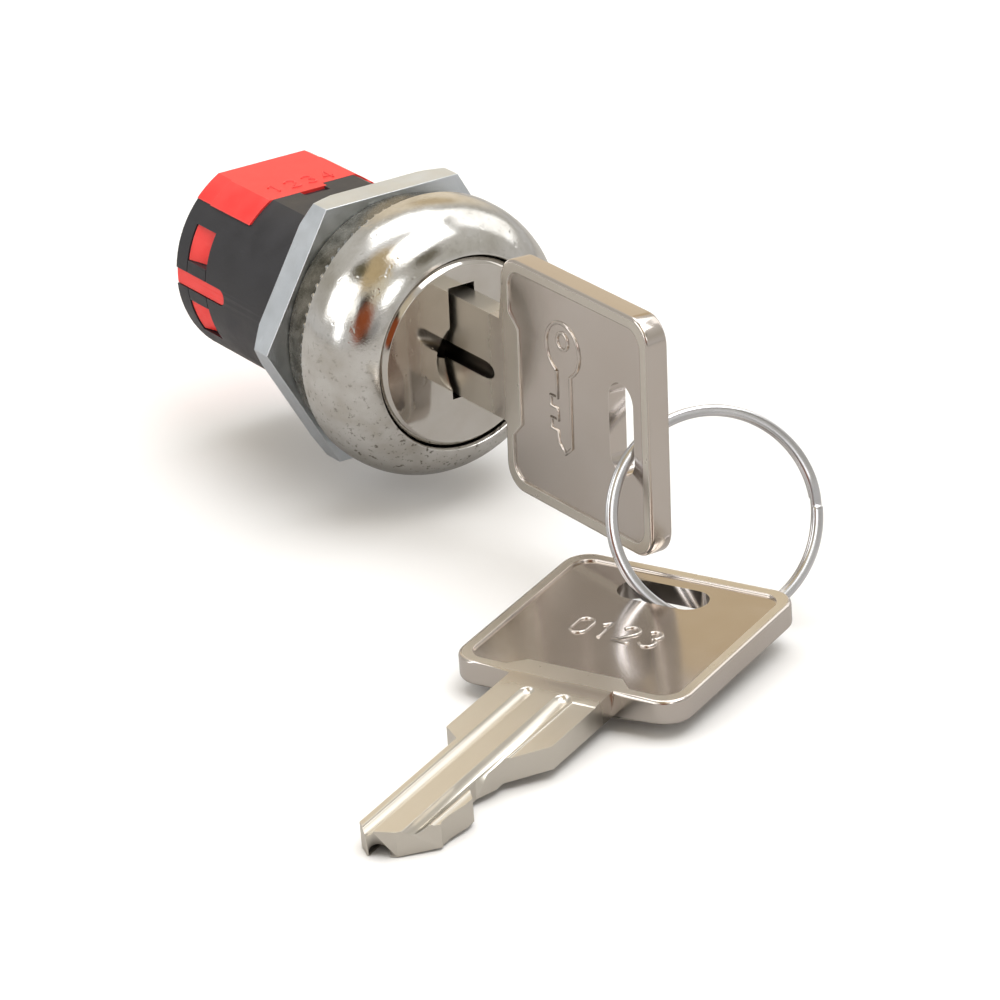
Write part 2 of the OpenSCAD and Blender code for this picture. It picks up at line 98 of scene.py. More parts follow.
def placed(turn_deg, at_mm):
    rx, ry, rz = (Matrix.Rotation(math.radians(a), 4, ax) for a, ax in zip(turn_deg, "XYZ"))
    return Matrix.Translation(Vector(at_mm) * MM) @ rz @ ry @ rx


KEY_PLACES = {
    "inserted_key": ("key", placed((90, 0, -90), (0, -13.85, 1.0))),
    "spare_key": ("spare", placed((179.455, -2.654, 24.62), (-14.62, -40.236, -12.209))),
}
RING_PLACE = placed((65.64, 0, -20.22), (4.318, -33.301, -6.057))


# ---------------------------------------------------------------- materials
# sockets of the colour side of a mix node
MIX_A, MIX_B, MIX_OUT = 6, 7, 2
# cosine of the angle between rounded and true normal, on flats and on edges
EDGE_FLAT, EDGE_ROUND = 0.995, 0.90
# most values of a noise lie between these
NOISE_LOW, NOISE_HIGH = 0.3, 0.7
# how far the painted shade in hollows reaches, as an ambient occlusion distance
HOLLOW_MM = 0.8
# how strongly worn edges and the painted shade in the key's slot and groove show, from 0 to 1
METAL_EDGE_WEAR = 0.7
PLASTIC_EDGE_WEAR = 0.2
RECESS_SHADE_STRENGTH = 0.85
PLASTIC_EDGE_MM = 0.15
# dark marks on the dome: fully there below the first height, in mm, and rare above the second
SPECK_HEIGHTS = (-9.0, 4.0)
SPECK_RARE = 0.1
SPECK_COLOR = (0.16, 0.14, 0.12)
# sizes of marks, pits and waves, as noise cells per mm
SPECKS_PER_MM = 2.3
PITS_PER_MM = 1.1
WAVES_PER_MM = 0.45


class Nodes:
    """Small helper for building a node tree."""

    def __init__(self, name):
        self.material = bpy.data.materials.new(name)
        self.material.use_nodes = True
        self.tree = self.material.node_tree
        self.tree.nodes.clear()
        self.out = self.add("ShaderNodeOutputMaterial")
        self.bsdf = self.add("ShaderNodeBsdfPrincipled")
        self.link(self.bsdf, "BSDF", self.out, "Surface")
        self.coord = self.add("ShaderNodeTexCoord")

    def add(self, kind, **props):
        n = self.tree.nodes.new(kind)
        for key, value in props.items():
            setattr(n, key, value)
        return n

    def link(self, a, a_out, b, b_in):
        self.tree.links.new(a.outputs[a_out], b.inputs[b_in])

    def noise(self, per_mm, detail=4.0, rough=0.55, stretch=(1, 1, 1), shift=0.0):
        m = self.add("ShaderNodeMapping")
        m.inputs["Scale"].default_value = [s * 1000.0 * per_mm for s in stretch]
        m.inputs["Location"].default_value = (shift, shift * 0.7, -shift)
        self.link(self.coord, "Object", m, "Vector")
        n = self.add("ShaderNodeTexNoise")
        n.inputs["Scale"].default_value = 1.0
        n.inputs["Detail"].default_value = detail
        n.inputs["Roughness"].default_value = rough
        self.link(m, "Vector", n, "Vector")
        return n

    def ramp(self, src, src_out, low, high, a, b):
        """Maps src from low..high to a..b, as a value."""
        r = self.add("ShaderNodeMapRange")
        r.inputs["From Min"].default_value = low
        r.inputs["From Max"].default_value = high
        r.inputs["To Min"].default_value = a
        r.inputs["To Max"].default_value = b
        self.link(src, src_out, r, "Value")
        return r

    def mix(self, factor, factor_out, a, b):
        """Colour mix; a and b are colours or (node, output)."""
        m = self.add("ShaderNodeMix", data_type="RGBA")
        self.link(factor, factor_out, m, 0)
        for value, socket in ((a, MIX_A), (b, MIX_B)):
            if isinstance(value, tuple) and len(value) == 2:
                self.tree.links.new(value[0].outputs[value[1]], m.inputs[socket])
            else:
                m.inputs[socket].default_value = (*value, 1.0)
        return m

    def bump(self, src, src_out, height_mm, strength=1.0, after=None):
        b = self.add("ShaderNodeBump")
        b.inputs["Strength"].default_value = strength
        b.inputs["Distance"].default_value = height_mm * MM
        self.link(src, src_out, b, "Height")
        if after is not None:
            self.link(after, "Normal", b, "Normal")
        return b

    def edge_mask(self, radius_mm):
        """1 on convex edges, 0 on flats."""
        bev = self.add("ShaderNodeBevel", samples=4)
        bev.inputs["Radius"].default_value = radius_mm * MM
        geo = self.add("ShaderNodeNewGeometry")
        dot = self.add("ShaderNodeVectorMath", operation="DOT_PRODUCT")
        self.link(bev, "Normal", dot, 0)
        self.link(geo, "Normal", dot, 1)
        return self.ramp(dot, "Value", EDGE_FLAT, EDGE_ROUND, 0.0, 1.0)


def metal(name, color, tint, rough, spread, grain_mm, grain_per_mm, blotch_per_mm=0.25, stretch=(1, 1, 1),
          edge_color=None, hollow_shade=0.25, hollow_shade_color=(0.10, 0.085, 0.06), pits=0.0, edge_mm=0.25, milled_and_rim_sheen=None,
          specks=0.0):
    """Worn metal: blotches of tint and roughness, fine grain, brighter edges, painted shade in hollows from
    ambient occlusion.
    The milled look is given as the colour of milled parts, which the key's rim also takes as wear and painted
    highlight, the colour of the painted shade in the key's slot and groove, and how much rougher milling is."""
    n = Nodes(name)
    blotch = n.noise(blotch_per_mm, 3.0)
    grain = n.noise(grain_per_mm, 5.0, 0.6, stretch, 3.1)
    smudge = n.noise(blotch_per_mm * 2.7, 5.0, 0.65, (1, 1, 1), 7.7)
    tinted = n.mix(n.ramp(blotch, "Fac", 0.38, 0.66, 0.0, 1.0), "Result", color, tint)
    edge = n.edge_mask(edge_mm)
    bright = edge_color or tuple(min(1.0, c * 1.18) for c in color)
    wear = n.ramp(edge, "Result", 0.0, 1.0, 0.0, METAL_EDGE_WEAR)
    worn = n.mix(wear, "Result", (tinted, MIX_OUT), bright)
    # painted shade: ambient occlusion darkens hollows towards a dark brown
    ao = n.add("ShaderNodeAmbientOcclusion", samples=4)
    ao.inputs["Distance"].default_value = HOLLOW_MM * MM
    hollow = n.ramp(ao, "AO", 0.1, 0.6, hollow_shade, 0.0)
    shaded_base = n.mix(hollow, "Result", (worn, MIX_OUT), hollow_shade_color)
    dull = n.ramp(smudge, "Fac", NOISE_LOW, NOISE_HIGH, rough - spread, rough + spread)
    if specks:
        # small dark marks where the plating has let go, more of them low down
        mark = n.noise(SPECKS_PER_MM, 4.0, 0.6, (1, 1, 1), 13.0)
        split = n.add("ShaderNodeSeparateXYZ")
        n.link(n.coord, "Object", split, "Vector")
        low, high = (z * MM for z in SPECK_HEIGHTS)
        many = n.ramp(split, "Z", low, high, specks, SPECK_RARE * specks)
        amount = n.add("ShaderNodeMath", operation="MULTIPLY")
        n.link(n.ramp(mark, "Fac", 0.58, 0.66, 0.0, 1.0), "Result", amount, 0)
        n.link(many, "Result", amount, 1)
        shaded_base = n.mix(amount, 0, (shaded_base, MIX_OUT), SPECK_COLOR)
    if milled_and_rim_sheen:
        # the blade is frosted by milling and the bow's rim takes the same colour as wear and painted
        # highlight; the walls of the slot and the groove get painted shade
        frost_and_sheen_color, recess_shade_color, frost_rough = milled_and_rim_sheen
        frost_and_sheen = n.add("ShaderNodeAttribute", attribute_name="milled_and_rim_sheen")
        recess_attr = n.add("ShaderNodeAttribute", attribute_name="recess_shade")
        frosted_and_sheened = n.mix(frost_and_sheen, "Fac", (shaded_base, MIX_OUT), frost_and_sheen_color)
        recess_amount = n.ramp(recess_attr, "Fac", 0.0, 1.0, 0.0, RECESS_SHADE_STRENGTH)
        shaded_base = n.mix(recess_amount, "Result", (frosted_and_sheened, MIX_OUT), recess_shade_color)
        coarse = n.add("ShaderNodeMath", operation="MULTIPLY_ADD")
        n.link(frost_and_sheen, "Fac", coarse, 0)
        coarse.inputs[1].default_value = frost_rough
        n.link(dull, "Result", coarse, 2)
        n.link(coarse, 0, n.bsdf, "Roughness")
    else:
        n.link(dull, "Result", n.bsdf, "Roughness")
    n.link(shaded_base, MIX_OUT, n.bsdf, "Base Color")
    n.bsdf.inputs["Metallic"].default_value = 1.0
    b = n.bump(grain, "Fac", grain_mm)
    if pits:
        pit = n.noise(PITS_PER_MM, 2.0, 0.5, (1, 1, 1), 11.0)
        dark = n.ramp(pit, "Fac", 0.66, 0.74, 0.0, -1.0)
        b = n.bump(dark, "Result", pits, 1.0, b)
    wave = n.noise(WAVES_PER_MM, 2.0, 0.4, (1, 1, 1), 5.0)
    b = n.bump(wave, "Fac", grain_mm * 3, 0.6, b)
    n.link(b, "Normal", n.bsdf, "Normal")
    return n.material


def plastic(name, color, dusty, rough, spread, grain_mm, subsurface=0.0):
    """Moulded plastic: fine texture, scuffs, lighter worn edges."""
    n = Nodes(name)
    blotch = n.noise(0.35, 4.0)
    grain = n.noise(9.0, 3.0, 0.6, (1, 1, 1), 2.0)
    scuff = n.noise(1.6, 6.0, 0.7, (1, 0.35, 1), 9.0)
    scuffs = n.ramp(scuff, "Fac", 0.60, 0.72, 0.0, 0.35)
    shade = n.mix(n.ramp(blotch, "Fac", 0.35, 0.68, 0.0, 0.5), "Result", color, dusty)
    scuffed = n.mix(scuffs, "Result", (shade, MIX_OUT), dusty)
    edge = n.edge_mask(PLASTIC_EDGE_MM)
    wear = n.ramp(edge, "Result", 0.0, 1.0, 0.0, PLASTIC_EDGE_WEAR)
    pale_edge = tuple(min(1.0, c * 1.5 + 0.03) for c in dusty)
    worn = n.mix(wear, "Result", (scuffed, MIX_OUT), pale_edge)
    n.link(worn, MIX_OUT, n.bsdf, "Base Color")
    dull = n.ramp(blotch, "Fac", NOISE_LOW, NOISE_HIGH, rough - spread, rough + spread)
    n.link(dull, "Result", n.bsdf, "Roughness")
    n.bsdf.inputs["Specular IOR Level"].default_value = 0.45
    if subsurface:
        n.bsdf.inputs["Subsurface Weight"].default_value = subsurface
        n.bsdf.inputs["Subsurface Radius"].default_value = (1.0, 0.25, 0.2)
        n.bsdf.inputs["Subsurface Scale"].default_value = 0.6 * MM
    n.link(n.bump(grain, "Fac", grain_mm), "Normal", n.bsdf, "Normal")
    return n.material


MATS = {
    "housing": metal("bright_nickel", (0.72, 0.71, 0.69), (0.58, 0.56, 0.52), 0.125, 0.045, 0.007, 6.0, 0.35,
                     pits=0.012, specks=1.0),
    "plug": metal("polished_nickel", (0.64, 0.615, 0.58), (0.59, 0.56, 0.52), 0.07, 0.02, 0.0006, 9.0, 0.3,
                  hollow_shade=0.35, pits=0.004),
    "nut": metal("zinc_plate", (0.74, 0.79, 0.85), (0.68, 0.73, 0.79), 0.36, 0.08, 0.016, 5.0, pits=0.012,
                 edge_color=(0.92, 0.94, 0.96), edge_mm=0.12),
    # painted shade: the spacer is the housing's nickel, made much darker for the shade it lies in behind the
    # dome
    "spacer": metal("shaded_dull_nickel", (0.25, 0.235, 0.20), (0.10, 0.095, 0.075), 0.26, 0.08, 0.012, 3.0,
                    0.7, (1, 9, 1)),
    "washer": metal("spring_plate", (0.78, 0.77, 0.74), (0.62, 0.60, 0.55), 0.14, 0.05, 0.003, 4.0),
    "key": metal("key_nickel", (0.64, 0.59, 0.55), (0.61, 0.555, 0.51), 0.16, 0.02, 0.0007, 12.0, 0.12,
                 edge_color=(0.82, 0.79, 0.74), hollow_shade=0.0, edge_mm=0.12,
                 # first colour: milled blade, also a painted highlight on the bow's rim; second colour:
                 # painted shade in the slot and the groove
                 milled_and_rim_sheen=((0.74, 0.70, 0.63), (0.045, 0.035, 0.028), 0.16)),
    "ring": metal("ring_steel", (0.70, 0.70, 0.72), (0.60, 0.60, 0.62), 0.20, 0.05, 0.001, 5.0),
    "brass": metal("stamped_brass", (0.78, 0.55, 0.23), (0.66, 0.44, 0.18), 0.28, 0.08, 0.002, 5.0),
    "bronze": metal("bronze_strip", (0.76, 0.50, 0.26), (0.62, 0.38, 0.20), 0.25, 0.08, 0.002, 5.0),
    "tin": metal("tinned_brass", (0.78, 0.76, 0.70), (0.66, 0.63, 0.55), 0.30, 0.08, 0.002, 5.0),
    "steel": metal("spring_steel", (0.60, 0.60, 0.62), (0.45, 0.45, 0.47), 0.25, 0.08, 0.002, 5.0),
    "clip": metal("dark_steel", (0.22, 0.22, 0.23), (0.14, 0.14, 0.15), 0.35, 0.08, 0.002, 5.0),
    "black": plastic("black_plastic", (0.020, 0.020, 0.024), (0.040, 0.040, 0.046), 0.45, 0.10, 0.006),
    "red": plastic("red_plastic", (0.80, 0.035, 0.032), (0.86, 0.080, 0.070), 0.38, 0.08, 0.005,
                   subsurface=0.15),
    "nylon": plastic("natural_nylon", (0.80, 0.78, 0.70), (0.86, 0.84, 0.78), 0.42, 0.08, 0.004,
                     subsurface=0.2),
}
NODE_MATS = {
    "lock_housing": "housing", "toothed_washer": "washer", "spacer_ring": "spacer", "hex_nut": "nut",
    "key_plug": "plug", "plug_clip": "clip", "drive_tang": "steel",
    "wafer_tumblers": "brass", "wafer_springs": "steel",
    "switch_shell": "black", "contact_base": "red", "drive_rotor": "nylon",
    "detent_ball": "steel", "detent_spring": "steel",
    "contact_bridges": "bronze", "bridge_springs": "steel", "solder_terminals": "tin",
    "inserted_key": "key", "spare_key": "key", "split_ring": "ring",
}


def paint(obj, material):
    if obj.data.materials:
        for i in range(len(obj.data.materials)):
            obj.data.materials[i] = material
    else:
        obj.data.materials.append(material)


for node_name, mat_name in NODE_MATS.items():
    paint(NODES[node_name], MATS[mat_name])


# ---------------------------------------------------------------- CAD nodes
WELD_M = 1e-6
FLAT_DEG = 0.4
ROUND_SEGMENTS = 3
EDGE_DEG = 32
# the block's flat top meets its round side at only 27 degrees
BLOCK_EDGE_DEG = 20


def soften(obj, width_mm, angle_deg):
    """Rounds a CAD node's edges with modifiers, leaving its mesh alone."""
    weld = obj.modifiers.new("weld", "WELD")
    weld.merge_threshold = WELD_M
    flat = obj.modifiers.new("flat", "DECIMATE")
    flat.decimate_type = "DISSOLVE"
    flat.angle_limit = math.radians(FLAT_DEG)
    if width_mm:
        bevel = obj.modifiers.new("edges", "BEVEL")
        bevel.width = width_mm * MM
        bevel.segments = ROUND_SEGMENTS
        bevel.limit_method = "ANGLE"
        bevel.angle_limit = math.radians(angle_deg)
        bevel.harden_normals = False
        bevel.use_clamp_overlap = True
    for p in obj.data.polygons:
        p.use_smooth = True
    normal = obj.modifiers.new("normals", "WEIGHTED_NORMAL")
    normal.keep_sharp = True


# how far each node's edges are rounded, in mm
EDGES = {
    "lock_housing": 0.10, "toothed_washer": 0.0, "spacer_ring": 0.06, "hex_nut": 0.05,
    "key_plug": 0.04, "plug_clip": 0.05, "drive_tang": 0.08, "wafer_tumblers": 0.05,
    "switch_shell": 0.06, "contact_base": 0.06, "drive_rotor": 0.08,
    "contact_bridges": 0.06, "solder_terminals": 0.06,
}
for node_name, width in EDGES.items():
    on_block = node_name in ("switch_shell", "contact_base")
    soften(NODES[node_name], width, BLOCK_EDGE_DEG if on_block else EDGE_DEG)
for p in NODES["detent_ball"].data.polygons:
    p.use_smooth = True


# ---------------------------------------------------------------- new pieces
def finish_piece(mesh, name, body, material, *stands_for):
    obj = bpy.data.objects.new(name, mesh)
    bpy.context.scene.collection.objects.link(obj)
    paint(obj, material)
    normals = obj.modifiers.new("normals", "WEIGHTED_NORMAL")
    normals.keep_sharp = True
    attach(obj, body)
    if stands_for:
        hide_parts(*stands_for)
    return obj


def bevel(bm, edges, width_mm, segments, clamp=False):
    bmesh.ops.bevel(bm, geom=edges, offset=width_mm * MM, offset_type="OFFSET", segments=segments,
                    profile=0.5, affect="EDGES", clamp_overlap=clamp)


def key_mesh(node_name, place):
    """The CAD key with its outer edges well rounded and its inner edges softened."""
    bm = bmesh.new()
    bm.from_mesh(NODES[node_name].data)
    bmesh.ops.transform(bm, matrix=place.inverted(), verts=bm.verts)
    bmesh.ops.remove_doubles(bm, verts=bm.verts, dist=WELD_M)
    bmesh.ops.dissolve_limit(bm, angle_limit=math.radians(KEY_FLAT_DEG), verts=bm.verts, edges=bm.edges)

    def turn(edge):
        return math.degrees(edge.calc_face_angle(0)) if len(edge.link_faces) == 2 else 0

    def span(face):
        zs = [v.co.z / MM for v in face.verts]
        return max(zs) - min(zs)

    def side_wall(face):
        return abs(face.normal.z) < 0.1 and span(face) > 1.7 * KEY_HALF

    def at_face(edge):
        return all(abs(v.co.z) / MM > KEY_HALF - 0.15 for v in edge.verts)

    def on_bow(edge):
        return all(v.co.x / MM > BOW_START - 0.05 for v in edge.verts)

    def outline(edge):
        return turn(edge) > OUTLINE_DEG and at_face(edge) and any(side_wall(f) for f in edge.link_faces)

    def panel_wall(face):
        return 0.5 * PANEL_DEPTH < span(face) < 1.5 * PANEL_DEPTH

    def panel_edge(edge):
        at_panel = any(map(panel_wall, edge.link_faces))
        return turn(edge) > PANEL_DEG and at_face(edge) and on_bow(edge) and at_panel

    bevel(bm, [e for e in bm.edges if outline(e) and on_bow(e)], BOW_BEVEL, 4)
    bevel(bm, [e for e in bm.edges if outline(e) and not on_bow(e)], BLADE_BEVEL, 2, True)
    bevel(bm, [e for e in bm.edges if panel_edge(e)], PANEL_BEVEL, 2, True)
    # cuts across the blade, so that the milled look fades evenly along it
    for x in FADE_CUTS:
        parts = bm.verts[:] + bm.edges[:] + bm.faces[:]
        bmesh.ops.bisect_plane(bm, geom=parts, dist=1e-7, plane_co=(x * MM, 0, 0), plane_no=(1, 0, 0))
    milled_and_rim_sheen = bm.verts.layers.float.new("milled_and_rim_sheen")
    recess_shade = bm.verts.layers.float.new("recess_shade")
    for v in bm.verts:
        x, y, z = v.co / MM
        on_rim = abs(z) > KEY_HALF - 0.01
        fade = max(0.0, min(1.0, (FADE_START - x) / FADE_LENGTH))
        # the bow's rim takes the lighter milled colour: wear, and a painted highlight
        v[milled_and_rim_sheen] = RIM_WEAR_AND_SHEEN if on_rim and x > BOW_START else fade
        # painted shade: the walls of the slot and the groove are marked to take a near-black colour
        by_slot = abs(x - SLOT_AT) < SLOT_ROOM[0] and abs(y) < SLOT_ROOM[1]
        in_slot = by_slot and abs(z) < KEY_HALF - PANEL_DEPTH - 0.04
        by_groove = x < GROOVE_START and abs(y - GROOVE_Y) < GROOVE_HALF
        in_groove = by_groove and -0.05 < z < KEY_HALF - 0.08
        v[recess_shade] = float(in_slot or in_groove)
    for f in bm.faces:
        f.smooth = True
    bmesh.ops.transform(bm, matrix=place, verts=bm.verts)
    mesh = bpy.data.meshes.new(node_name + "_shape")
    bm.to_mesh(mesh)
    bm.free()
    mesh.set_sharp_from_angle(angle=math.radians(SHARP_DEG))
    return mesh


def stroke_mesh(name, strokes, width_mm, place, z_mm):
    """Raised lines, as on a coined mark: a stroke is its (x, y) points in place's frame, and if it closes."""
    curve = bpy.data.curves.new(name, "CURVE")
    curve.dimensions = "3D"
    curve.bevel_depth = width_mm / 2 * MM
    curve.bevel_resolution = 2
    curve.use_fill_caps = True
    for points, closed in strokes:
        s = curve.splines.new("POLY")
        s.points.add(len(points) - 1)
        for p, (x, y) in zip(s.points, points):
            p.co = (x * MM, y * MM, z_mm * MM, 1.0)
        s.use_cyclic_u = closed
    obj = bpy.data.objects.new(name + "_curve", curve)
    bpy.context.scene.collection.objects.link(obj)
    obj.matrix_world = place
    bpy.context.view_layer.update()
    mesh = bpy.data.meshes.new_from_object(obj.evaluated_get(bpy.context.evaluated_depsgraph_get()))
    mesh.transform(place)
    bpy.data.objects.remove(obj)
    for p in mesh.polygons:
        p.use_smooth = True
    return mesh


def arc(cx, cy, r, a0, a1, n=14):
    """Points of an arc from a0 to a1 degrees, in n steps."""
    return [(cx + r * math.cos(math.radians(a0 + (a1 - a0) * i / n)),
             cy + r * math.sin(math.radians(a0 + (a1 - a0) * i / n))) for i in range(n + 1)]


# Strokes of each digit in a cell 1 wide and DIGIT_HIGH high.
DIGIT_HIGH = 1.8
DIGIT = {
    "0": [(arc(0.5, 1.3, 0.5, 0, 180) + arc(0.5, 0.5, 0.5, 180, 360), True)],
    "1": [([(0.1, 1.4), (0.55, 1.8), (0.55, 0.0)], False)],
    "2": [(arc(0.5, 1.3, 0.5, 165, -35, 10) + [(0.0, 0.0), (1.0, 0.0)], False)],
    "3": [(arc(0.48, 1.36, 0.44, 150, -80, 10) + arc(0.48, 0.48, 0.48, 85, -150, 10), False)],
    "4": [([(1.0, 0.55), (0.0, 0.55), (0.72, 1.8), (0.72, 0.0)], False)],
}


def digits(text, height, spacing=1.5):
    """Strokes of a row of digits, reading along +x from 0, with its foot on y = 0."""
    k = height / DIGIT_HIGH
    return [([((p + i * spacing) * k, q * k) for p, q in points], closed)
            for i, c in enumerate(text) for points, closed in DIGIT[c]]


def moved(strokes, turn_deg, x, y, flip=1):
    """Strokes turned, then moved; flip = -1 mirrors them first, for a face seen from behind."""
    c, s = math.cos(math.radians(turn_deg)), math.sin(math.radians(turn_deg))
    return [([(x + c * p * flip - s * q, y + s * p * flip + c * q) for p, q in points], closed)
            for points, closed in strokes]


def key_emblem():
    """A generic outline of a key: a ring with a hole, a shaft and two teeth."""
    shaft = [(1.1, 1.0), (1.1, -5.0), (0.2, -5.8), (-0.7, -5.0), (-0.7, -4.1), (-1.6, -4.1), (-1.6, -3.2),
             (-0.7, -3.2), (-0.7, -2.2), (-1.6, -2.2), (-1.6, -1.3), (-0.7, -1.3), (-0.7, 1.0)]
    head = arc(0.2, 3.0, 2.2, -60, 244, 24)
    hole = arc(0.2, 3.7, 0.7, 0, 342, 18)
    return [(head, False), (shaft, False), (hole, True)]


# the marks stand on the panels, which are sunk by PANEL_DEPTH
PANEL = KEY_HALF - PANEL_DEPTH
KEY_LINE = 0.32
emblem = moved(key_emblem(), 0, x=6.9, y=1.2)
number = moved(digits("0123", height=2.4), -90, x=6.6, y=-3.9, flip=-1)
for node_name, (body, place) in KEY_PLACES.items():
    finish_piece(key_mesh(node_name, place), node_name + "_body", body, MATS["key"], node_name)
    for mark, strokes, z in (("_emblem", emblem, PANEL), ("_number", number, -PANEL)):
        mesh = stroke_mesh(node_name + mark, strokes, KEY_LINE, place, z)
        finish_piece(mesh, node_name + mark, body, MATS["key"])

# raised terminal numbers on the red cap, read from the front
CAP_LINE = 0.22
CAP_SINK = 0.02
cap_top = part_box("contact_base")[1][2] / MM
cap_number = moved(digits("1234", height=1.6, spacing=1.9), 0, x=-3.1, y=16.6)
cap_mesh = stroke_mesh("cap_numbers", cap_number, CAP_LINE, Matrix.Identity(4), cap_top - CAP_SINK)
finish_piece(cap_mesh, "cap_numbers", "lock_body", MATS["red"])


def wire_mesh(name, loops, place):
    """A closed skin over loops of points, with a cap at each end."""
    bm = bmesh.new()
    rings = [[bm.verts.new(p) for p in loop] for loop in loops]
    sides = len(rings[0])
    for a, b in zip(rings, rings[1:]):
        for k in range(sides):
            m = (k + 1) % sides
            bm.faces.new((a[k], a[m], b[m], b[k]))
    bm.faces.new(list(reversed(rings[0])))
    bm.faces.new(rings[-1])
    for f in bm.faces:
        f.smooth = True
    bmesh.ops.recalc_face_normals(bm, faces=bm.faces)
    bmesh.ops.transform(bm, matrix=place, verts=bm.verts)
    mesh = bpy.data.meshes.new(name)
    bm.to_mesh(mesh)
    bm.free()
    return mesh


def split_ring():
    """Two turns of flat wire that cross from one layer to the other, with a cut end each side."""
    mean_r, wire, layer = 8.15, 0.88, 0.5
    between_layers = 0.01
    steps = 480
    sides = 14
    # a rectangle with well rounded corners
    squareness = 0.75
    section = []
    for k in range(sides):
        a = 2 * math.pi * k / sides
        c, s = math.cos(a), math.sin(a)
        section.append((math.copysign(abs(c) ** squareness, c) * wire / 2,
                        math.copysign(abs(s) ** squareness, s) * (layer - between_layers) / 2))
    gap = math.radians(1.5)
    cross = math.radians(30)
    loops = []
    start, stop = gap, 4 * math.pi - gap
    for i in range(steps + 1):
        t = start + (stop - start) * i / steps
        # the crossing is centred on one full turn
        s = max(0.0, min(1.0, 0.5 + (t - 2 * math.pi) / cross))
        z = (-1 + 2 * s * s * (3 - 2 * s)) * layer / 2
        # the two cut ends are a little smaller
        end = min(1.0, min(i, steps - i) / 1.5 + 0.6)
        loop = []
        for dr, dz in section:
            r = mean_r + dr * end
            loop.append((r * math.cos(t) * MM, r * math.sin(t) * MM, (z + dz * end) * MM))
        loops.append(loop)
    return wire_mesh("split_ring_shape", loops, RING_PLACE)


finish_piece(split_ring(), "split_ring_wire", "ring", MATS["ring"], "split_ring")


def ball_spring():
    """The coil behind the detent ball, along x, with its inner end on the side of +x."""
    low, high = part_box("detent_spring")
    cad_wire, wire = 0.14 * MM, 0.12 * MM
    turns, sides, steps_per_turn = 5.5, 10, 24
    middle = (low + high) / 2
    mean_r = (high.y - low.y) / 2 - cad_wire
    start, length = high.x - wire, high.x - low.x - 2 * wire
    steps = round(turns * steps_per_turn)
    loops = []
    for i in range(steps + 1):
        # the first and last half turn lie flat, as on a closed coil
        t = turns * i / steps
        s = max(0.0, min(1.0, (t - 0.5) / (turns - 1.0)))
        a = 2 * math.pi * t
        loop = []
        for k in range(sides):
            b = 2 * math.pi * k / sides
            r = mean_r + wire * math.cos(b)
            x = start - length * s + wire * math.sin(b)
            loop.append((x, middle.y + r * math.cos(a), middle.z + r * math.sin(a)))
        loops.append(loop)
    return wire_mesh("ball_spring_shape", loops, Matrix.Identity(4))


# the coil gets a mesh of its own; in the switch it shortens by as much as the ball moves
spring = finish_piece(ball_spring(), "ball_spring", "rotor", MATS["steel"], "detent_spring")
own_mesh(spring)

# ---------------------------------------------------------------- stage
FLOOR_GAP = 0.05 * MM
FLOOR_Z = cad_bounds[0][2] - FLOOR_GAP
FLOOR_HALF = 3
floor_mesh = bpy.data.meshes.new("floor")
corners = [(x * FLOOR_HALF, y * FLOOR_HALF, FLOOR_Z) for x, y in ((-1, -1), (1, -1), (1, 1), (-1, 1))]
floor_mesh.from_pydata(corners, [], [(0, 1, 2, 3)])
floor = bpy.data.objects.new("floor", floor_mesh)
bpy.context.scene.collection.objects.link(floor)
pale = Nodes("pale_floor")
speck = pale.noise(0.02, 2.0)
specked = pale.ramp(speck, "Fac", NOISE_LOW, NOISE_HIGH, 0.0, 1.0)
plain = pale.mix(specked, "Result", (0.93, 0.93, 0.93), (0.95, 0.95, 0.95))
# reflections see a greyer floor, as a dark studio would give
seen_by = pale.add("ShaderNodeLightPath")
floor_color = pale.mix(seen_by, "Is Glossy Ray", (plain, MIX_OUT), (0.47, 0.46, 0.45))
pale.link(floor_color, MIX_OUT, pale.bsdf, "Base Color")
pale.bsdf.inputs["Roughness"].default_value = 0.9
pale.bsdf.inputs["Specular IOR Level"].default_value = 0.1
floor_mesh.materials.append(pale.material)


def toward(azimuth, elevation):
    """Unit vector from the object: azimuth 0 is in front of the lock, 90 to its right."""
    a, e = math.radians(azimuth), math.radians(elevation)
    return Vector((math.sin(a) * math.cos(e), -math.cos(a) * math.cos(e), math.sin(e)))


SUBJECT = Vector((0.0, -0.012, 0.0))
LIGHT_DISTANCE = 0.7


def softbox(name, azimuth, elevation, size_deg, radiance):
    """A soft light that looks size_deg wide and high from the subject."""
    data = bpy.data.lights.new(name, "AREA")
    data.shape = "RECTANGLE"
    data.size, data.size_y = (2 * LIGHT_DISTANCE * math.tan(math.radians(a) / 2) for a in size_deg)
    data.energy = radiance * math.pi * data.size * data.size_y
    obj = bpy.data.objects.new(name, data)
    bpy.context.scene.collection.objects.link(obj)
    obj.location = SUBJECT + toward(azimuth, elevation) * LIGHT_DISTANCE
    obj.rotation_euler = (-toward(azimuth, elevation)).to_track_quat("-Z", "Y").to_euler()


softbox("left_softbox", -98, 30, (40, 30), 1.6)
softbox("top_softbox", 20, 68, (44, 30), 2.4)
softbox("ceiling_softbox", 150, 72, (50, 30), 1.8)
softbox("right_softbox", 95, 34, (30, 40), 1.0)

world = bpy.data.worlds.new("studio")
bpy.context.scene.world = world
world.use_nodes = True
wt = world.node_tree
wt.nodes.clear()


def world_node(kind, **props):
    n = wt.nodes.new(kind)
    for key, value in props.items():
        setattr(n, key, value)
    return n


w_out = world_node("ShaderNodeOutputWorld")
w_room = world_node("ShaderNodeBackground")
w_seen = world_node("ShaderNodeBackground")
w_mix = world_node("ShaderNodeMixShader")
w_path = world_node("ShaderNodeLightPath")
w_coord = world_node("ShaderNodeTexCoord")
w_split = world_node("ShaderNodeSeparateXYZ")
w_height = world_node("ShaderNodeMapRange")
